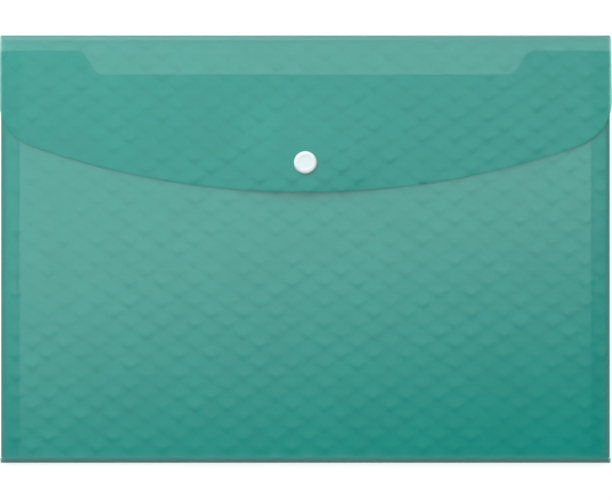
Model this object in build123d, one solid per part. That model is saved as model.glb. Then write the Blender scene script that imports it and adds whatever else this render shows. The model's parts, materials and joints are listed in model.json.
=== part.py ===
"""Landscape document wallet of creased plastic sheet, with a flap that closes on a press stud.

Millimetres. The wallet lies on its back: +X is its width, +Y goes to the flap's fold and +Z comes out
of the front. The origin is under the middle of the closed wallet.
"""
import math
import os

from build123d import *

# Closed wallet
wallet_width = 336.0
wallet_height = 236.0

# Sheet, and the clear depth that the rounded folds leave in the pocket
sheet = 0.4
pocket_depth = 5.4

# Top edge of the front panel: shoulders beside a wide thumb notch
shoulder_drop = 8.7
notch_depth = 13.2
notch_floor_width = 229.0
notch_end_run = 8.3
notch_corner_radius = 6.0

# Side tabs, measured from the wallet's side edge
tab_reach = 9.7

# Flap, with drops measured from the wallet's top edge
flap_drop = 86.8
flap_edge_radius = 460.0
flap_corner_radius = 26.5
flap_flare = 0.8
flap_clearance = 0.3

# Press stud: its place above the flap's edge, and the post and riveted head that both halves have
stud_margin = 16.1
post_diameter = 3.0
post_clearance = 0.1
rivet_diameter = 4.2
rivet_height = 0.25

# Press stud: cap on the flap, with a rounded rim round a shallow dish
cap_diameter = 12.6
cap_height = 1.5
cap_side_height = 0.45
cap_crest_diameter = 9.2
cap_dish_diameter = 6.6
cap_dish_depth = 0.2
cap_bulge_share = 0.75

# Press stud: socket under the flap
socket_diameter = 10.6
socket_height = 1.5
socket_floor = 0.45
socket_lip = 0.4
socket_groove = 0.2

# Press stud: ball on the front panel, and its backing cap in the pocket
ball_flange_diameter = 10.6
ball_flange_height = 0.5
ball_diameter = 5.4
ball_height = 0.9
ball_neck = 0.2
ball_round = 0.3
backing_diameter = 12.6
backing_height = 1.0
backing_bevel = 0.4
snap_gap = 0.3
snap_clearance = 0.15

# Levels above the table
front_inside = sheet + pocket_depth
front_outside = front_inside + sheet

# Fold radii, outside the sheet
bottom_radius = front_outside / 2
side_radius = (front_outside - sheet) / 2
hinge_radius = (front_outside + flap_clearance + sheet) / 2

# Edges and axes of the folds
half_width = wallet_width / 2
half_height = wallet_height / 2
bottom_y = bottom_radius - half_height
side_x = half_width - side_radius
hinge_y = half_height - hinge_radius
shoulder_y = half_height - shoulder_drop
hinge_axis = Axis((0, hinge_y, hinge_radius), (-1, 0, 0))

# The flap leans on the stud, so it rises from the hinge by a small angle
stud_reach = flap_drop - stud_margin - hinge_radius
flap_inside = hinge_radius - sheet
stack_top = front_outside + ball_flange_height + snap_gap + socket_height - hinge_radius
flap_rise = math.asin(stack_top / math.hypot(stud_reach, flap_inside)) - math.atan2(flap_inside, stud_reach)
flap_tilt = math.degrees(flap_rise)
socket_mouth = flap_inside - socket_height
stud_y = hinge_y - stud_reach * math.cos(flap_rise) + socket_mouth * math.sin(flap_rise)

post_radius = post_diameter / 2
hole_radius = post_radius + post_clearance
rivet_radius = rivet_diameter / 2


def plate(outline, level):
    """A flat piece of the sheet with this outline, from level upwards."""
    return Pos(0, 0, level) * extrude(outline, amount=sheet)


def bend(outer, start, turn):
    """Section of the sheet bent about the origin, from the angle start through turn degrees."""
    inner = outer - sheet
    outside = CenterArc((0, 0), outer, start, turn)
    inside = CenterArc((0, 0), inner, start, turn)
    first = Line(outside @ 0, inside @ 0)
    last = Line(outside @ 1, inside @ 1)
    return make_face([outside.edge(), first.edge(), inside.edge(), last.edge()])


def turned(points):
    """A solid turned about Z from a closed outline of radius and height."""
    section = make_face(Polyline(*points, close=True))
    return revolve(Plane.XZ * section, Axis.Z)


def post_hole():
    """The hole that a stud's post needs through one sheet."""
    return Circle(hole_radius)


def make_back_panel():
    length = hinge_y - bottom_y
    middle = (hinge_y + bottom_y) / 2
    return plate(Pos(0, middle) * Rectangle(wallet_width, length), 0)


def make_bottom_fold():
    section = Plane.YZ * Pos(bottom_y, bottom_radius) * bend(bottom_radius, 90, 180)
    return extrude(section, amount=half_width, both=True)


def make_front_panel():
    floor = notch_floor_width / 2
    mouth = floor + notch_end_run
    notch_y = shoulder_y - notch_depth
    right_edge = [(side_x, bottom_y), (side_x, shoulder_y), (mouth, shoulder_y), (floor, notch_y)]
    left_edge = [(-x, y) for x, y in reversed(right_edge)]
    outline = make_face(Polyline(*right_edge, *left_edge, close=True))
    corners = [v for v in outline.vertices() if abs(v.X) < (side_x + mouth) / 2]
    outline = fillet(corners, notch_corner_radius)
    return plate(outline - Pos(0, stud_y) * post_hole(), front_inside)


def make_right_side_fold():
    section = bend(side_radius, -90, 180)
    top_end = Plane((side_x, shoulder_y, sheet + side_radius), x_dir=(1, 0, 0), z_dir=(0, -1, 0))
    return extrude(top_end * section, amount=shoulder_y - bottom_y)


def make_right_weld_tab():
    width = tab_reach - side_radius
    length = shoulder_y - bottom_y
    middle = (shoulder_y + bottom_y) / 2
    return plate(Pos(side_x - width / 2, middle) * Rectangle(width, length), sheet)


def make_flap_hinge():
    section = Plane.YZ * Pos(hinge_y, hinge_radius) * bend(hinge_radius, -90, 180 - flap_tilt)
    return extrude(section, amount=half_width, both=True)


def make_flap_panel():
    wide = half_width + flap_flare
    tip_y = hinge_y - (flap_drop - hinge_radius)
    side_y = tip_y + flap_edge_radius - math.sqrt(flap_edge_radius**2 - wide**2)
    edge = ThreePointArc((-wide, side_y), (0, tip_y), (wide, side_y))
    rim = Polyline((wide, side_y), (half_width, hinge_y), (-half_width, hinge_y), (-wide, side_y))
    outline = make_face([*edge.edges(), *rim.edges()])
    corners = outline.vertices().sort_by(Axis.Y)[:2]
    outline = fillet(corners, flap_corner_radius)
    return plate(outline - Pos(0, hinge_y - stud_reach) * post_hole(), hinge_radius + flap_inside)


def make_stud_cap():
    cap_radius = cap_diameter / 2
    crest = cap_crest_diameter / 2
    dish = cap_dish_diameter / 2
    dish_level = cap_height - cap_dish_depth
    bulge_x = crest + (cap_radius - crest) * cap_bulge_share
    bulge_z = cap_side_height + (cap_height - cap_side_height) * cap_bulge_share
    rim = ThreePointArc((cap_radius, cap_side_height), (bulge_x, bulge_z), (crest, cap_height))
    post_end = -(sheet + socket_floor)
    rivet_end = post_end - rivet_height
    top = Polyline((crest, cap_height), (dish, dish_level), (0, dish_level), (0, rivet_end))
    post = Polyline(
        (0, rivet_end),
        (rivet_radius, rivet_end),
        (rivet_radius, post_end),
        (post_radius, post_end),
        (post_radius, 0),
        (cap_radius, 0),
        (cap_radius, cap_side_height),
    )
    section = make_face([*rim.edges(), *top.edges(), *post.edges()])
    return revolve(Plane.XZ * section, Axis.Z)


def make_stud_socket():
    """Socket with its floor against the flap, at height zero, and its mouth down."""
    outer = socket_diameter / 2
    mouth = ball_diameter / 2 + snap_clearance
    groove = mouth + socket_groove
    return turned(
        [
            (hole_radius, 0),
            (outer, 0),
            (outer, -socket_height),
            (mouth, -socket_height),
            (mouth, socket_lip - socket_height),
            (groove, socket_lip + socket_groove - socket_height),
            (groove, -socket_floor),
            (hole_radius, -socket_floor),
        ]
    )


def make_stud_ball():
    """Ball with its flange on the front panel, at height zero."""
    flange = ball_flange_diameter / 2
    ball = ball_diameter / 2
    top = ball_flange_height + ball_height
    seat = top - rivet_height
    recess = rivet_radius + post_clearance
    return turned(
        [
            (hole_radius, 0),
            (flange, 0),
            (flange, ball_flange_height),
            (ball - ball_neck, ball_flange_height),
            (ball, top - ball_round),
            (ball - ball_round, top),
            (recess, top),
            (recess, seat),
            (hole_radius, seat),
        ]
    )


def make_stud_backing_cap():
    """Backing cap with its face against the front panel's inside, at height zero."""
    outer = backing_diameter / 2
    seat = sheet + ball_flange_height + ball_height - rivet_height
    return turned(
        [
            (0, -backing_height),
            (outer - backing_bevel, -backing_height),
            (outer, backing_bevel - backing_height),
            (outer, 0),
            (post_radius, 0),
            (post_radius, seat),
            (rivet_radius, seat),
            (rivet_radius, seat + rivet_height),
            (0, seat + rivet_height),
        ]
    )


def closed(piece):
    """A piece made on a level flap, turned up about the hinge until the socket is over the ball."""
    return piece.rotate(hinge_axis, flap_tilt)


right_side_fold = make_right_side_fold()
right_weld_tab = make_right_weld_tab()
flap_stud_y = hinge_y - stud_reach
flap_outside = hinge_radius * 2

nodes = {
    "back_panel": make_back_panel(),
    "bottom_fold": make_bottom_fold(),
    "front_panel": make_front_panel(),
    "left_side_fold": mirror(right_side_fold, about=Plane.YZ),
    "right_side_fold": right_side_fold,
    "left_weld_tab": mirror(right_weld_tab, about=Plane.YZ),
    "right_weld_tab": right_weld_tab,
    "flap_hinge": make_flap_hinge(),
    "flap_panel": closed(make_flap_panel()),
    "stud_cap": closed(Pos(0, flap_stud_y, flap_outside) * make_stud_cap()),
    "stud_socket": closed(Pos(0, flap_stud_y, flap_outside - sheet) * make_stud_socket()),
    "stud_ball": Pos(0, stud_y, front_outside) * make_stud_ball(),
    "stud_backing_cap": Pos(0, stud_y, front_inside) * make_stud_backing_cap(),
}

os.makedirs("parts", exist_ok=True)
for name, solid in nodes.items():
    export_step(solid, f"parts/{name}.step")
print(f"hinge axis y {hinge_y:.4f} z {hinge_radius:.4f}, flap tilt {flap_tilt:.4f}, stud y {stud_y:.4f}")
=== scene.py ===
"""Document wallet of embossed translucent sheet, closed by a white press stud, lying on a pale floor."""
import json
import math

import bmesh
import bpy
import numpy as np
from mathutils import Matrix, Vector
from mathutils.geometry import delaunay_2d_cdt


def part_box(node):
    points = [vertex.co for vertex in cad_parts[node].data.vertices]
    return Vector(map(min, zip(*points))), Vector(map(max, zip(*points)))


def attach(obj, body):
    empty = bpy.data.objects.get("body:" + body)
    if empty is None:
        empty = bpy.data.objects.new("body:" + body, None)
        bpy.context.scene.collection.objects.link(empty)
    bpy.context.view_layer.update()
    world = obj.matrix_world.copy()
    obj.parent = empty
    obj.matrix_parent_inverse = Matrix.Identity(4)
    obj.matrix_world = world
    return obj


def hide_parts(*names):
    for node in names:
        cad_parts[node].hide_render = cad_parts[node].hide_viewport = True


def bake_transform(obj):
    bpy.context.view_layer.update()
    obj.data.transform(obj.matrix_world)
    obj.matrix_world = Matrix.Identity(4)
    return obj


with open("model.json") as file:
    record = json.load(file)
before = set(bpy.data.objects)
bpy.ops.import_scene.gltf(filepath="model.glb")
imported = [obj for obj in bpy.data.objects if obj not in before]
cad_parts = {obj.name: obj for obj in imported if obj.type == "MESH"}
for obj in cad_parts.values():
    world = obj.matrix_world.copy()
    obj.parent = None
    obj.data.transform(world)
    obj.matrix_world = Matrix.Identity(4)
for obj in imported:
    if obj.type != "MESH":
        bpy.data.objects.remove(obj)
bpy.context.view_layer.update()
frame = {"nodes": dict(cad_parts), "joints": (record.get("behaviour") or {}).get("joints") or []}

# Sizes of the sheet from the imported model, with the radius of each bend at the middle of the sheet
back_low, back_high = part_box("back_panel")
front_low, front_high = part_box("front_panel")
hinge_y, hinge_z = frame["joints"][0]["pos_m"][1:]
sheet = back_high.z - back_low.z
half_width = back_high.x
half_height = front_high.z / 2 - back_low.y
bottom_y = back_low.y
side_x = front_high.x
shoulder_y = front_high.y
tab_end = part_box("right_weld_tab")[0].x
bottom_bend = front_high.z / 2 - sheet / 2
side_bend_z = (front_high.z + sheet) / 2
side_bend = front_high.z - sheet / 2 - side_bend_z
hinge_bend = hinge_z - sheet / 2

# Top edge of the front panel: depth of the notch, half widths of its floor and mouth, and its corners
notch_depth = 0.0132
notch_floor = 0.1145
notch_mouth = 0.1228
notch_corner = 0.006
notch_corner_points = 9

# Lower edge of the flap: radii of its arc and corners, and how far its sides flare past the wallet
flap_edge_radius = 0.46
flap_corner = 0.0265
flap_flare = 0.0008
fewest_arc_points = 4

# Embossed scales: pitch, place of one tip, height, its spread, its share on the flap, and the back's shift
pitch_x = 0.01791
pitch_y = 0.01137
tip_x = 0.00174
tip_y = 0.0065
scale_height = 0.00043
height_spread = 0.45
flap_scale_share = 1.3
back_shift = pitch_x / 3

# Form of one scale, in shares of its cell: its slopes, its fall from the lower tip, and the band of painted
# shade along its lower edges
slope_share = 0.28
scale_power = 3
mark_share = 0.5
mark_power = 3

# Factors that turn a scale's row and column into a number from 0 to 1
chance_steps = (12.9898, 78.233)
chance_factor = 43758.5453

# Mesh of the sheet: steps between points, in folds too, and the width and rounding of a cut edge's rim
step_x = pitch_x / 12
step_y = pitch_y / 8
fold_step = 0.00075
rim_width = 0.00065
rim_round = 0.15
rim_clearance = rim_width * 2.2
edge_tolerance = fold_step / 10
same_point = 1e-9
sharp_angle = math.radians(40)

# Material slots of a sheet
sheet_slot, edge_slot, fold_slot, inside_slot = range(4)

# Slant of the direction that hinge_point gives each half of the living hinge; make_hinge computes these
# points but does not use them
hinge_slant = math.radians(20)

# Flattened patch round the press stud, and how the flap sinks towards the front away from the stud
stud_patch = 0.007
stud_patch_fade = 0.003
sink_share = 0.95
sink_start = 0.008
sink_run = 0.04

# Press stud: posts, their holes and riveted heads, the recess of the lower head, and the turned mesh
post_radius = 0.0015
hole_radius = 0.0016
rivet_radius = 0.0021
rivet_height = 0.00025
recess_radius = 0.0022
lathe_count = 96
rounding_points = 5
weld_distance = 1e-7

# Press stud: cap on the flap, with a bulging rim round a shallow dish
cap_radius = 0.0063
cap_side = 0.0005
cap_bulge = (0.00575, 0.00125)
cap_crest = 0.0046
cap_height = 0.0015
cap_dish = 0.0032
cap_dish_level = 0.0013
cap_rounding = 0.0001

# Press stud: socket under the flap, with a groove behind its lip
socket_radius = 0.0053
socket_height = 0.0015
socket_floor = 0.00045
socket_mouth = 0.00285
socket_lip = 0.0004
socket_groove = 0.0002
socket_rounding = 0.00008

# Press stud: ball with its flange on the front
flange_radius = 0.0053
flange_height = 0.0005
ball_neck = 0.0025
ball_radius = 0.0027
ball_level = 0.0011
ball_top_radius = 0.0024
ball_top = 0.0014
ball_rounding = 0.00006

# Press stud: backing cap in the pocket
backing_radius = 0.0063
backing_height = 0.001
backing_bevel = 0.0004
backing_rounding = 0.0001

# Plastic: noise for its clouds, its grain and the unevenness of the painted shade along the scales' lower
# edges, and the grain's depth
cloud_noise = {"Scale": 40.0, "Detail": 4.0, "Roughness": 0.7}
grain_detail = 3.0
mark_noise = {"Scale": 70.0, "Detail": 2.0}
mark_factor = 3.0
mark_offset = -0.5
grain_depth = 0.0001

# Sockets of a node that mixes colours
mix_share, mix_first, mix_second = 0, 6, 7
mix_result = 2

# Camera, straight above the wallet
camera_place = (0.00033, -0.00044, 0.9416)
camera_lens = 100

# Light: a key softbox overhead, whose faded near edge runs across the wallet, and low lamps round it,
# each with its place, size and radiance
key_height = 1.2
key_edge = (0, -0.095)
key_turn = math.radians(13)
key_size = (2.6, 2.0)
key_fade = 0.1
key_radiance = 1.31
low_lamps = {
    "back_lamp": ((-0.7, 1.2, 0.9), (1.9, 1.3), 2.6),
    "left_lamp": ((-1.5, 0, 0.7), (1.4, 1.0), 0.7),
    "right_lamp": ((1.5, 0.1, 0.7), (1.4, 1.0), 1.1),
}
ambient = 0.01
white = (1, 1, 1, 1)

# Floor: pale paper with a glow, white far from the wallet; round the wallet the glow has a painted green-blue
# tint of light through the sheet, and under it a painted shadow, greener and dimmer to the bottom
floor_level = -sheet / 2
floor_paper = (0.4, 0.4, 0.4, 1)
floor_size = 3.0
# Paler glow round the wallet, with a painted green-blue tint as of light through the sheet
painted_tint_glow = (0.8, 0.82, 0.82, 1)
far_range = (0.05, 0.4)
glow_border = 0.005
glow_range = (-0.15, 0.03)
glow_slant = 0.15
# Ends of the painted shadow under the wallet: nearly white at the top, dark green at the bottom
painted_light_top = (0.94, 1, 1, 1)
painted_shade_bottom = (0, 0.2, 0.17, 1)


def lean_of(name):
    """Angle by which a flat CAD node leans about X."""
    face = max(frame["nodes"][name].data.polygons, key=lambda p: p.area)
    return math.atan2(abs(face.normal.y), abs(face.normal.z))


# Lean of the closed flap, how far its tip and its stud are from the hinge, and the stud's place on the front
flap_lean = lean_of("flap_panel")
flap_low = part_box("flap_panel")[0]
flap_reach = (hinge_y - flap_low.y + (hinge_z - sheet) * math.sin(flap_lean)) / math.cos(flap_lean)
cap_low, cap_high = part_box("stud_cap")
stud_reach = (hinge_y - (cap_low.y + cap_high.y) / 2 + hinge_z * math.sin(flap_lean)) / math.cos(flap_lean)
ball_low, ball_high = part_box("stud_ball")
stud_y = (ball_low.y + ball_high.y) / 2


def smooth(t):
    """Soft step from 0 to 1."""
    t = np.clip(t, 0, 1)
    return t * t * (3 - 2 * t)


def scales(across, along):
    """Shares of a scale's cell: depth from its lower tip, gaps to its lower and upper edges, and chance."""
    across = (across - tip_x) / pitch_x
    along = (along - tip_y) / pitch_y
    rising = across + along
    falling = across - along
    from_left = np.mod(rising, 1)
    from_right = 1 - np.mod(falling, 1)
    seed = np.floor(rising) * chance_steps[0] + np.floor(falling) * chance_steps[1]
    chance = np.mod(np.sin(seed) * chance_factor, 1)
    depth = (from_left + from_right) / 2
    return depth, np.minimum(from_left, from_right), 1 - np.maximum(from_left, from_right), chance


def emboss(across, along):
    """Height of the scales, and how much painted shade lies along their lower edges."""
    depth, lower, upper, chance = scales(across, along)
    slopes = smooth(lower / slope_share) * smooth(upper / slope_share)
    # Mask of the painted shade: strongest at each scale's lower tip, fading along its lower edges
    painted_lip_shade = (1 - depth) ** mark_power * (1 - smooth(lower / mark_share))
    height = scale_height * (1 + height_spread * (2 * chance - 1))
    return np.stack([height * (1 - depth) ** scale_power * slopes, painted_lip_shade])


def clear_of_stud(across, along, centre):
    """0 on the flattened patch round the stud, 1 away from it."""
    return smooth((np.hypot(across, along - centre) - stud_patch) / stud_patch_fade)


def run(start, end, step):
    """Points from start to end, without the end."""
    start, end = np.array(start, float), np.array(end, float)
    count = max(1, round(np.linalg.norm(end - start) / step))
    return start + (end - start) * (np.arange(count) / count)[:, None]


def arc(centre, radius, start, end, step):
    """Points round an arc between two angles, without the end."""
    count = max(fewest_arc_points, round(abs(end - start) * radius / step))
    angles = start + (end - start) * np.arange(count) / count
    return np.array(centre) + radius * np.stack([np.cos(angles), np.sin(angles)], axis=1)


def rectangle(low, high, step):
    """Points round a rectangle."""
    corners = [low, (high[0], low[1]), high, (low[0], high[1])]
    return np.concatenate([run(a, b, step) for a, b in zip(corners, corners[1:] + corners[:1])])


def round_corner(before, corner, after, radius, count):
    """Points of the arc that rounds a corner."""
    before, corner, after = (np.array(p, float) for p in (before, corner, after))
    back = (before - corner) / np.linalg.norm(before - corner)
    on = (after - corner) / np.linalg.norm(after - corner)
    half = math.acos(np.clip(back @ on, -1, 1)) / 2
    middle = corner + (back + on) / np.linalg.norm(back + on) * radius / math.sin(half)
    first = corner + back * radius / math.tan(half) - middle
    last = corner + on * radius / math.tan(half) - middle
    share = np.linspace(0, 1, count)[:, None]
    spread = (1 - share) * first + share * last
    return middle + spread / np.linalg.norm(spread, axis=1)[:, None] * radius


def scatter(low, high, across, along):
    """Staggered points over a rectangle."""
    rows = np.arange(low[1], high[1], along)
    columns = np.arange(low[0], high[0], across)
    x, y = np.meshgrid(columns, rows)
    x[1::2] += across / 2
    return np.stack([x.ravel(), y.ravel()], axis=1)


def inside(points, loop, margin):
    """Which points lie within the loop, further than the margin from its points."""
    within = np.zeros(len(points), bool)
    gap = np.full(len(points), np.inf)
    x, y = points[:, 0], points[:, 1]
    for a, b in zip(loop, np.roll(loop, -1, axis=0)):
        if a[1] != b[1]:
            crosses = (y >= min(a[1], b[1])) & (y < max(a[1], b[1]))
            at = a[0] + (y - a[1]) * (b[0] - a[0]) / (b[1] - a[1])
            within ^= crosses & (x < at)
        gap = np.minimum(gap, np.hypot(x - a[0], y - a[1]))
    return within & (gap > margin)


def fill(loop, points):
    """Triangles over the loop: its points come first, then those of a rim inside it, then the others."""
    ahead = np.roll(loop, -1, axis=0) - np.roll(loop, 1, axis=0)
    inward = np.stack([-ahead[:, 1], ahead[:, 0]], axis=1)
    inward /= np.linalg.norm(inward, axis=1)[:, None]
    rim = loop + inward * rim_width
    points = points[inside(points, loop, rim_clearance)]
    flat = np.concatenate([loop, rim, points])
    count = len(loop)
    ring = [(i, (i + 1) % count) for i in range(count)]
    edges = ring + [(a + count, b + count) for a, b in ring]
    only_inside = 1
    made = delaunay_2d_cdt([Vector(p) for p in flat], edges, [], only_inside, same_point)
    order = [ids[0] for ids in made[3]]
    return flat, np.array([[order[i] for i in face] for face in made[2]])


def new_object(name, vertices, faces, slots, materials, painted_lip_shade=None):
    """A smooth mesh object with a material slot number for each face."""
    mesh = bpy.data.meshes.new(name)
    mesh.from_pydata(vertices.tolist(), [], [list(f) for f in faces])
    for material in materials:
        mesh.materials.append(material)
    mesh.polygons.foreach_set("material_index", slots)
    mesh.validate()
    mesh.shade_smooth()
    mesh.set_sharp_from_angle(angle=sharp_angle)
    if painted_lip_shade is not None:
        # Keep the share of painted shade along the scales' lower edges for the material
        layer = mesh.attributes.new("painted_lip_shade", "FLOAT", "POINT")
        layer.data.foreach_set("value", painted_lip_shade.astype(np.float32))
    thing = bpy.data.objects.new(name, mesh)
    bpy.context.scene.collection.objects.link(thing)
    return thing


def faces_inward(place, normal, faces):
    """Whether the faces look against the sheet's normals."""
    a, b, c = (place[faces[:, i]] for i in range(3))
    return np.einsum("ij,ij->i", np.cross(b - a, c - a), normal[faces[:, 0]]).sum() < 0


def outer_slots(flat, faces, cut, is_fold):
    """Material slot of each outer face: a cut edge's rim, a fold or plain sheet."""
    count = len(cut)
    on_rim = np.array([(f < count).any() and cut[f[f < count]].all() for f in faces])
    on_fold = is_fold(*flat[faces].mean(axis=1).T)
    return np.where(on_rim, edge_slot, np.where(on_fold, fold_slot, sheet_slot))


def make_sheet(name, loop, points, shape, relief, is_cut, is_fold, materials):
    """A closed sheet over a flat loop, bent by shape and embossed by relief, with rounded cut edges."""
    flat, faces = fill(loop, points)
    count, total = len(loop), len(flat)
    place, normal = shape(flat[:, 0], flat[:, 1])
    height, painted_lip_shade = relief(flat[:, 0], flat[:, 1])
    half = np.full(total, sheet / 2)
    cut = is_cut(loop[:, 0], loop[:, 1])
    half[:count][cut] *= 1 - rim_round
    outer = place + normal * (height + half)[:, None]
    inner = place + normal * (height - half)[:, None]
    first = np.arange(count)
    second = np.roll(first, -1)
    walls = np.stack([first, first + total, second + total, second], axis=1)
    if faces_inward(place, normal, faces):
        faces = faces[:, ::-1]
        walls = walls[:, ::-1]
    inner_slots = np.full(len(faces), inside_slot)
    wall_slots = np.where(cut & np.roll(cut, -1), edge_slot, sheet_slot)
    slots = np.concatenate([outer_slots(flat, faces, cut, is_fold), inner_slots, wall_slots])
    everything = [*faces.tolist(), *(faces[:, ::-1] + total).tolist(), *walls.tolist()]
    vertices = np.concatenate([outer, inner])
    painted_lip_shade = np.concatenate([painted_lip_shade, painted_lip_shade])
    return new_object(name, vertices, everything, slots.astype(np.int32), materials, painted_lip_shade)


def stack(x, y, z):
    """Rows of three coordinates."""
    return np.stack(np.broadcast_arrays(x, y, z), axis=1).astype(float)


def back_shape(x, along):
    """Back panel, and below its edge the bottom fold round to the front."""
    turn = np.maximum(bottom_y - along, 0) / bottom_bend
    y = np.maximum(along, bottom_y) - bottom_bend * np.sin(turn)
    z = sheet / 2 + bottom_bend * (1 - np.cos(turn))
    return stack(x, y, z), stack(0, -np.sin(turn), -np.cos(turn))


def front_shape(across, y):
    """Front panel, and beyond its sides the side folds and the weld tabs under them."""
    side = np.sign(across)
    past = np.maximum(np.abs(across) - side_x, 0)
    turn = np.minimum(past / side_bend, math.pi)
    tab = past - turn * side_bend
    x = side * (np.minimum(np.abs(across), side_x) + side_bend * np.sin(turn) - tab)
    z = side_bend_z + side_bend * np.cos(turn)
    return stack(x, y, z), stack(side * np.sin(turn), 0, np.cos(turn))


def hinge_shape(x, along):
    """Living hinge round from the back panel to the flap."""
    turn = along / hinge_bend
    y = hinge_y + hinge_bend * np.sin(turn)
    z = hinge_z - hinge_bend * np.cos(turn)
    return stack(x, y, z), stack(0, np.sin(turn), -np.cos(turn))


def flap_shape(x, along):
    """Flap, leaning up from the hinge to the stud and sinking a little towards its free edge beside it."""
    away = smooth((np.hypot(x, along + stud_reach) - sink_start) / sink_run)
    level = hinge_bend + along * math.sin(flap_lean) * sink_share * away
    y = hinge_y + along * math.cos(flap_lean) + level * math.sin(flap_lean)
    z = hinge_z - along * math.sin(flap_lean) + level * math.cos(flap_lean)
    return stack(x, y, z), stack(0, math.sin(flap_lean), np.full(len(x), math.cos(flap_lean)))


def back_relief(x, along):
    """The back is embossed from outside, and flattened, without scales or painted shade, at the welds and the
    bottom fold.
    """
    flat = smooth((tab_end - np.abs(x)) / fold_step) * smooth((along - bottom_y) / step_y)
    height, painted_lip_shade = flat * emboss(x + back_shift, -along)
    return -height, painted_lip_shade


def front_relief(across, y):
    """The front's scales run into its side folds and stop before the tabs."""
    fade = 1 - smooth((np.abs(across) - side_x) / side_bend)
    return fade * clear_of_stud(across, y, stud_y) * emboss(across, y)


def flap_relief(x, along):
    """The flap's scales, with the flat patch for the stud."""
    return flap_scale_share * clear_of_stud(x, along, -stud_reach) * emboss(x, along + hinge_y)


def flat_relief(x, along):
    """No scales."""
    return np.zeros((2, len(x)))


def at_sides(x, along):
    """Along the wallet's side edges."""
    return np.abs(x) > half_width - edge_tolerance


def above_bottom(across, y):
    """Off the line where the front meets the bottom fold."""
    return y > bottom_y + edge_tolerance


def below_hinge(x, along):
    """Off the line where the flap meets the hinge."""
    return along < -edge_tolerance


def in_bottom_fold(x, along):
    """On the bottom fold."""
    return along < bottom_y


def in_side_folds(across, y):
    """On either side fold."""
    half_turn = math.pi * side_bend / 2
    return np.abs(np.abs(across) - side_x - half_turn) < half_turn


def everywhere(x, along):
    """The whole piece."""
    return np.ones(len(x), bool)


def nowhere(x, along):
    """No part of the piece."""
    return np.zeros(len(x), bool)


def front_loop(reach):
    """Outline of the front panel laid flat, with its folds and tabs out to reach."""
    floor_y = shoulder_y - notch_depth
    shoulder = (reach, shoulder_y)
    mouth = (notch_mouth, shoulder_y)
    floor = (notch_floor, floor_y)
    middle = (0, floor_y)
    upper = round_corner(shoulder, mouth, floor, notch_corner, notch_corner_points)
    lower = round_corner(mouth, floor, middle, notch_corner, notch_corner_points)
    right = np.concatenate(
        [
            run((0, bottom_y), (reach, bottom_y), step_y)[1:],
            run((reach, bottom_y), shoulder, step_y),
            run(shoulder, upper[0], step_y),
            upper,
            run(upper[-1], lower[0], step_y)[1:],
            lower,
            run(lower[-1], middle, step_y)[1:],
        ]
    )
    return np.concatenate([[(0, bottom_y)], right, [middle], right[::-1] * (-1, 1)])


def flap_loop():
    """Outline of the flap laid flat, from the hinge line at height zero."""
    wide = half_width + flap_flare
    centre = np.array((0, flap_edge_radius - flap_reach))
    top = np.array((half_width, 0))
    side = np.array((wide, centre[1] - math.sqrt(flap_edge_radius**2 - wide**2))) - top
    side /= np.linalg.norm(side)
    inward = np.array((side[1], -side[0]))
    start = top + inward * flap_corner - centre
    along = start @ side
    reach = -along + math.sqrt(along**2 - start @ start + (flap_edge_radius - flap_corner) ** 2)
    corner = centre + start + side * reach
    low_angle = math.atan2(*(corner - centre)[::-1])
    side_angle = math.atan2(*(-inward)[::-1])
    tangent = top + side * reach
    right = np.concatenate(
        [
            arc(centre, flap_edge_radius, -math.pi / 2, low_angle, step_y)[1:],
            arc(corner, flap_corner, low_angle, side_angle, step_y / 2),
            run(tangent, top, step_y),
            run(top, (0, 0), step_y),
        ]
    )
    return np.concatenate([[(0, -flap_reach)], right, [(0, 0)], right[::-1] * (-1, 1)])


def node(tree, kind, inputs=None, **settings):
    """A shader node with some of its settings and inputs set."""
    made = tree.nodes.new(kind)
    for key, value in settings.items():
        setattr(made, key, value)
    for key, value in (inputs or {}).items():
        made.inputs[key].default_value = value
    return made


def math_node(tree, operation, inputs=None, **settings):
    """A node that calculates with numbers."""
    return node(tree, "ShaderNodeMath", inputs, operation=operation, **settings)


def colour_mix(tree, inputs=None):
    """A node that mixes two colours."""
    return node(tree, "ShaderNodeMix", inputs, data_type="RGBA")


def with_painted_lip_shade(tree, place, colour, painted_lip_shade):
    """The given colour, mixed unevenly with a darker one along the lower edges of the scales, as painted
    shade.
    """
    link = tree.links.new
    # Painted shade: a darker colour along the scales' lower edges
    marks = node(tree, "ShaderNodeAttribute", attribute_name="painted_lip_shade")
    deepen = colour_mix(tree, {mix_second: (*painted_lip_shade, 1)})
    uneven = node(tree, "ShaderNodeTexNoise", mark_noise)
    spread = math_node(tree, "MULTIPLY_ADD", {1: mark_factor, 2: mark_offset})
    share = math_node(tree, "MULTIPLY", use_clamp=True)
    link(place.outputs["Object"], uneven.inputs["Vector"])
    link(uneven.outputs["Fac"], spread.inputs[0])
    link(marks.outputs["Fac"], share.inputs[0])
    link(spread.outputs[0], share.inputs[1])
    link(share.outputs[0], deepen.inputs[mix_share])
    link(colour, deepen.inputs[mix_first])
    return deepen.outputs[mix_result]


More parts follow.
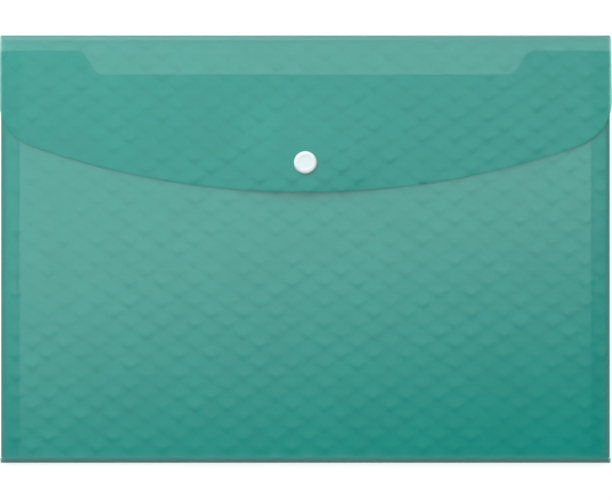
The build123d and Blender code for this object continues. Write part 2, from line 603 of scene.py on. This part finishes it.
def plastic(name, dark, light, rough, grain, bump, alpha=1.0, specular=0.5, painted_lip_shade=None):
    """Moulded or rolled plastic: cloudy colour, with painted shade along the scales' lower edges if given,
    fine grain in its gloss and surface.
    """
    material = bpy.data.materials.new(name)
    material.use_nodes = True
    tree = material.node_tree
    link = tree.links.new
    shader = tree.nodes["Principled BSDF"]
    shader.inputs["Alpha"].default_value = alpha
    shader.inputs["Specular IOR Level"].default_value = specular
    place = node(tree, "ShaderNodeTexCoord")
    clouds = node(tree, "ShaderNodeTexNoise", cloud_noise)
    grains = node(tree, "ShaderNodeTexNoise", {"Scale": grain, "Detail": grain_detail})
    tint = colour_mix(tree, {mix_first: (*dark, 1), mix_second: (*light, 1)})
    gloss = node(tree, "ShaderNodeMapRange", {"To Min": rough[0], "To Max": rough[1]})
    relief = node(tree, "ShaderNodeBump", {"Strength": bump, "Distance": grain_depth})
    for texture in (clouds, grains):
        link(place.outputs["Object"], texture.inputs["Vector"])
    link(clouds.outputs["Fac"], tint.inputs[mix_share])
    colour = tint.outputs[mix_result]
    if painted_lip_shade:
        colour = with_painted_lip_shade(tree, place, colour, painted_lip_shade)
    link(colour, shader.inputs["Base Color"])
    link(grains.outputs["Fac"], gloss.inputs["Value"])
    link(gloss.outputs["Result"], shader.inputs["Roughness"])
    link(grains.outputs["Fac"], relief.inputs["Height"])
    link(relief.outputs["Normal"], shader.inputs["Normal"])
    return material


def lathe(name, profile, matrix, material):
    """A turned solid from points of radius and height that run clockwise: a ring, or from axis to axis."""
    around = np.arange(lathe_count)
    onward = np.roll(around, -1)
    angles = 2 * math.pi * around / lathe_count
    vertices = np.concatenate([stack(r * np.cos(angles), r * np.sin(angles), z) for r, z in profile])
    on_axis = profile[0][0] == 0
    faces = []
    for ring in range(len(profile) - 1 if on_axis else len(profile)):
        low, high = ring * lathe_count, (ring + 1) % len(profile) * lathe_count
        faces.append(np.stack([low + around, high + around, high + onward, low + onward], axis=1))
    faces = np.concatenate(faces)
    made = new_object(name, vertices, faces, np.zeros(len(faces), np.int32), [material])
    shape = bmesh.new()
    shape.from_mesh(made.data)
    bmesh.ops.remove_doubles(shape, verts=shape.verts, dist=weld_distance)
    shape.to_mesh(made.data)
    shape.free()
    made.data.transform(matrix)
    return made


def softened(profile, radius):
    """A profile with its corners rounded, all of them on a ring, or all but the ends on the axis."""
    points = np.array(profile)
    on_axis = points[0, 0] == 0
    if not on_axis:
        points = np.concatenate([points[[-1]], points, points[[0]]])
    corners = zip(points, points[1:], points[2:])
    rounded = [round_corner(*corner, radius, rounding_points) for corner in corners]
    if on_axis:
        rounded = [points[[0]], *rounded, points[[-1]]]
    return np.concatenate(rounded)


def on_flap(reach, level):
    """Matrix to a place on the closed flap: reach from the hinge, level above the hinge's axis."""
    lean = Matrix.Rotation(-flap_lean, 4, "X")
    return Matrix.Translation((0, hinge_y, hinge_z)) @ lean @ Matrix.Translation((0, -reach, level))


def past_wallet(tree, split):
    """How far a place on the floor is past the wallet's edges, negative under it."""
    link = tree.links.new
    beyond = math_node(tree, "MAXIMUM")
    for socket, (axis, reach) in enumerate((("X", half_width), ("Y", half_height))):
        size = math_node(tree, "ABSOLUTE")
        past = math_node(tree, "SUBTRACT", {1: reach})
        link(split.outputs[axis], size.inputs[0])
        link(size.outputs[0], past.inputs[0])
        link(past.outputs[0], beyond.inputs[socket])
    return beyond.outputs[0]


def glow_and_painted_shade(tree):
    """Colour of the floor's glow: white far away, round the wallet a paler glow with a painted green-blue
    tint of light through the sheet, and under it a painted shadow between two tints, dimmer and greener to
    the bottom.
    """
    link = tree.links.new
    place = node(tree, "ShaderNodeTexCoord")
    split = node(tree, "ShaderNodeSeparateXYZ")
    slant = math_node(tree, "MULTIPLY_ADD", {1: -glow_slant})
    ends = {"From Min": glow_range[0], "From Max": glow_range[1]}
    ramp = node(tree, "ShaderNodeMapRange", ends, interpolation_type="SMOOTHSTEP")
    # Painted shadow under the wallet, dimmer and greener towards the bottom
    under = colour_mix(tree, {mix_first: painted_shade_bottom, mix_second: painted_light_top})
    border = node(tree, "ShaderNodeMapRange", {"From Min": -glow_border, "From Max": 0.0})
    distance = node(tree, "ShaderNodeMapRange", {"From Min": far_range[0], "From Max": far_range[1]})
    # Painted tint round the wallet, fading to white far away
    around = colour_mix(tree, {mix_first: painted_tint_glow, mix_second: white})
    whole = colour_mix(tree)
    link(place.outputs["Object"], split.inputs[0])
    link(split.outputs["X"], slant.inputs[0])
    link(split.outputs["Y"], slant.inputs[2])
    link(slant.outputs[0], ramp.inputs["Value"])
    link(ramp.outputs["Result"], under.inputs[mix_share])
    beyond = past_wallet(tree, split)
    link(beyond, border.inputs["Value"])
    link(beyond, distance.inputs["Value"])
    link(distance.outputs["Result"], around.inputs[mix_share])
    link(border.outputs["Result"], whole.inputs[mix_share])
    link(under.outputs[mix_result], whole.inputs[mix_first])
    link(around.outputs[mix_result], whole.inputs[mix_second])
    return whole.outputs[mix_result]


def floor_material():
    """Diffuse paper, with a glow that the camera sees directly, in gloss and through clear pieces."""
    material = bpy.data.materials.new("floor")
    material.use_nodes = True
    tree = material.node_tree
    link = tree.links.new
    tree.nodes.remove(tree.nodes["Principled BSDF"])
    path = node(tree, "ShaderNodeLightPath")
    seen = math_node(tree, "MAXIMUM")
    seen_all = math_node(tree, "MAXIMUM")
    glow = node(tree, "ShaderNodeEmission")
    paper = node(tree, "ShaderNodeBsdfDiffuse", {"Color": floor_paper})
    both = node(tree, "ShaderNodeAddShader")
    link(path.outputs["Is Camera Ray"], seen.inputs[0])
    link(path.outputs["Is Glossy Ray"], seen.inputs[1])
    link(seen.outputs[0], seen_all.inputs[0])
    link(path.outputs["Is Transmission Ray"], seen_all.inputs[1])
    link(glow_and_painted_shade(tree), glow.inputs["Color"])
    link(seen_all.outputs[0], glow.inputs["Strength"])
    link(glow.outputs[0], both.inputs[0])
    link(paper.outputs[0], both.inputs[1])
    link(both.outputs[0], tree.nodes["Material Output"].inputs["Surface"])
    return material


def make_floor():
    """A floor that shows as white and still takes the wallet's shadow."""
    mesh = bpy.data.meshes.new("floor")
    corners = [(-1, -1), (1, -1), (1, 1), (-1, 1)]
    mesh.from_pydata([(x * floor_size, y * floor_size, floor_level) for x, y in corners], [], [(0, 1, 2, 3)])
    floor = bpy.data.objects.new("floor", mesh)
    bpy.context.scene.collection.objects.link(floor)
    mesh.materials.append(floor_material())


def softbox(name, place, turn, size, radiance, fade=0):
    """A rectangular lamp, turned from facing straight down, that may fade out towards its near edge."""
    lamp = bpy.data.lights.new(name, "AREA")
    lamp.shape = "RECTANGLE"
    lamp.size, lamp.size_y = size
    lamp.energy = radiance * math.pi * size[0] * size[1]
    if fade:
        lamp.use_nodes = True
        tree = lamp.node_tree
        place_on = node(tree, "ShaderNodeNewGeometry")
        split = node(tree, "ShaderNodeSeparateXYZ")
        ends = {"From Max": fade / size[1]}
        ramp = node(tree, "ShaderNodeMapRange", ends, interpolation_type="SMOOTHSTEP")
        tree.links.new(place_on.outputs["Parametric"], split.inputs[0])
        tree.links.new(split.outputs["Y"], ramp.inputs["Value"])
        tree.links.new(ramp.outputs["Result"], tree.nodes["Emission"].inputs["Strength"])
    placed = bpy.data.objects.new(name, lamp)
    placed.location = place
    placed.rotation_euler = turn
    placed.visible_camera = False
    bpy.context.scene.collection.objects.link(placed)


def make_light():
    """Key softbox and three low lamps, in a dim room."""
    back = (key_size[1] - key_fade) / 2
    middle = (key_edge[0] - math.sin(key_turn) * back, key_edge[1] + math.cos(key_turn) * back, key_height)
    softbox("key", middle, (0, 0, key_turn), key_size, key_radiance, key_fade)
    for name, (place, size, radiance) in low_lamps.items():
        turn = (-Vector(place)).to_track_quat("-Z", "Y").to_euler()
        softbox(name, place, turn, size, radiance)
    world = bpy.data.worlds.new("room")
    world.use_nodes = True
    background = world.node_tree.nodes["Background"]
    background.inputs["Color"].default_value = white
    background.inputs["Strength"].default_value = ambient
    bpy.context.scene.world = world


def make_camera():
    """The photo's view, straight down on the wallet."""
    camera = bpy.data.cameras.new("camera")
    camera.lens = camera_lens
    placed = bpy.data.objects.new("camera", camera)
    placed.location = camera_place
    bpy.context.scene.collection.objects.link(placed)
    bpy.context.scene.camera = placed


def make_back(materials):
    """Back with the bottom fold."""
    fold_end = bottom_y - math.pi * bottom_bend
    loop = rectangle((-half_width, fold_end), (half_width, hinge_y), step_y)
    points = np.concatenate(
        [
            scatter((-half_width, bottom_y), (half_width, hinge_y), step_x, step_y),
            scatter((-half_width, fold_end), (half_width, bottom_y), step_x, fold_step),
        ]
    )
    back = make_sheet(
        "back_sheet", loop, points, back_shape, back_relief, at_sides, in_bottom_fold, materials
    )
    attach(back, "wallet")
    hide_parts("back_panel", "bottom_fold")


def make_front(materials):
    """Front with the side folds and weld tabs."""
    reach = side_x + math.pi * side_bend + side_x - tab_end
    points = np.concatenate(
        [
            scatter((-side_x, bottom_y), (side_x, shoulder_y), step_x, step_y),
            scatter((-reach, bottom_y), (-side_x, shoulder_y), fold_step, step_y),
            scatter((side_x, bottom_y), (reach, shoulder_y), fold_step, step_y),
        ]
    )
    loop = front_loop(reach)
    front = make_sheet(
        "front_sheet", loop, points, front_shape, front_relief, above_bottom, in_side_folds, materials
    )
    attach(front, "wallet")
    folds = ("left_side_fold", "right_side_fold", "left_weld_tab", "right_weld_tab")
    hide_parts("front_panel", *folds)


def make_flap(materials):
    """Flap on its own body."""
    wide = half_width + flap_flare
    points = scatter((-wide, -flap_reach), (wide, 0), step_x, step_y)
    flap = make_sheet(
        "flap_sheet", flap_loop(), points, flap_shape, flap_relief, below_hinge, nowhere, materials
    )
    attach(flap, "flap")
    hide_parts("flap_panel")


def hinge_point(share, side):
    """Point at a share of the way across the hinge's turn, slanting up for its lower half, side 1."""
    rise = math.sin(hinge_slant)
    level = math.cos(hinge_slant)
    reach = hinge_bend * (2 * share * (level + rise) - rise)
    return 0, hinge_y + reach * level, hinge_z + side * reach * rise


def make_hinge(materials):
    """Living hinge in two halves, which bend from the wallet to the flap."""
    quarter = hinge_bend * math.pi / 2
    end = hinge_bend * (math.pi - flap_lean)
    for name, first, last, start, stop in (
        ("hinge_lower", 0, quarter, hinge_point(0, 1), hinge_point(1, 1)),
        ("hinge_upper", quarter, end, hinge_point(1, -1), hinge_point(0, -1)),
    ):
        low, high = (-half_width, first), (half_width, last)
        loop = rectangle(low, high, fold_step)
        points = scatter(low, high, step_x, fold_step)
        half = make_sheet(name, loop, points, hinge_shape, flat_relief, at_sides, everywhere, materials)
        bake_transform(half)
        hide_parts("flap_hinge")


def cap_profile():
    """Section of the cap above the flap's face, and of its post, riveted under the socket's floor."""
    post_end = -(sheet + socket_floor)
    rivet_end = post_end - rivet_height
    return [
        (0, cap_dish_level),
        (cap_dish, cap_dish_level),
        (cap_crest, cap_height),
        cap_bulge,
        (cap_radius, cap_side),
        (cap_radius, 0),
        (post_radius, 0),
        (post_radius, post_end),
        (rivet_radius, post_end),
        (rivet_radius, rivet_end),
        (0, rivet_end),
    ]


def socket_profile():
    """Section of the socket, which hangs from the flap's inner face."""
    lip_end = socket_lip - socket_height
    groove_radius = socket_mouth + socket_groove
    return [
        (hole_radius, 0),
        (socket_radius, 0),
        (socket_radius, -socket_height),
        (socket_mouth, -socket_height),
        (socket_mouth, lip_end),
        (groove_radius, lip_end + socket_groove),
        (groove_radius, -socket_floor),
        (hole_radius, -socket_floor),
    ]


def ball_profile():
    """Section of the ball, which stands on the front with its flange."""
    seat = ball_top - rivet_height
    return [
        (hole_radius, seat),
        (recess_radius, seat),
        (recess_radius, ball_top),
        (ball_top_radius, ball_top),
        (ball_radius, ball_level),
        (ball_neck, flange_height),
        (flange_radius, flange_height),
        (flange_radius, 0),
        (hole_radius, 0),
    ]


def backing_profile():
    """Section of the backing cap under the front, and of its post, riveted in the ball's recess."""
    seat = sheet + ball_top - rivet_height
    return [
        (0, seat + rivet_height),
        (rivet_radius, seat + rivet_height),
        (rivet_radius, seat),
        (post_radius, seat),
        (post_radius, 0),
        (backing_radius, 0),
        (backing_radius, backing_bevel - backing_height),
        (backing_radius - backing_bevel, -backing_height),
        (0, -backing_height),
    ]


def make_stud(material):
    """The four mouldings of the press stud."""
    on_front = Matrix.Translation((0, stud_y, front_high.z))
    in_pocket = Matrix.Translation((0, stud_y, front_low.z))
    pieces = (
        ("stud_cap", cap_profile(), cap_rounding, "flap", on_flap(stud_reach, hinge_z)),
        ("stud_socket", socket_profile(), socket_rounding, "flap", on_flap(stud_reach, hinge_z - sheet)),
        ("stud_ball", ball_profile(), ball_rounding, "wallet", on_front),
        ("stud_backing_cap", backing_profile(), backing_rounding, "wallet", in_pocket),
    )
    for name, profile, rounding, body, place in pieces:
        piece = lathe(name + "_moulding", softened(profile, rounding), place, material)
        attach(piece, body)
        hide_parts(name)


sheet_look = plastic(
    "green_sheet",
    dark=(0.002, 0.354, 0.291),
    light=(0.003, 0.442, 0.362),
    rough=(0.276, 0.296),
    grain=400.0,
    bump=0.1,
    alpha=0.7,
    specular=0.7,
    # Darker colour painted along the scales' lower edges: painted shade
    painted_lip_shade=(0.001, 0.378, 0.31),
)
inside_look = plastic(
    "green_inside",
    dark=(0.002, 0.37, 0.306),
    light=(0.003, 0.41, 0.34),
    rough=(0.276, 0.296),
    grain=400.0,
    bump=0.1,
    alpha=0.133,
)
# The cut edges' rim is a little darker than the sheet: painted shade for the dark line along a cut edge
edge_shade_look = plastic(
    "cut_edge_painted_shade",
    dark=(0.003, 0.37, 0.305),
    light=(0.004, 0.4, 0.33),
    rough=(0.3, 0.4),
    grain=800.0,
    bump=0.1,
    alpha=0.7,
)
# The folds get a greyer, darker copy of the sheet colour: painted sheen and shade on the bends
painted_fold_look = plastic(
    "fold_painted_sheen_and_shade",
    dark=(0.03, 0.33, 0.28),
    light=(0.045, 0.36, 0.305),
    rough=(0.28, 0.34),
    grain=400.0,
    bump=0.15,
    alpha=0.7,
    specular=0.45,
)
stud_look = plastic(
    "white_plastic",
    dark=(0.8, 0.897, 0.907),
    light=(0.82, 0.917, 0.927),
    rough=(0.25, 0.35),
    grain=600.0,
    bump=0.1,
)
sheet_looks = [sheet_look, edge_shade_look, painted_fold_look, inside_look]

make_camera()
make_light()
make_floor()
make_back(sheet_looks)
make_front(sheet_looks)
make_flap(sheet_looks)
make_hinge(sheet_looks)
make_stud(stud_look)

bpy.context.scene.view_settings.view_transform = "Standard"
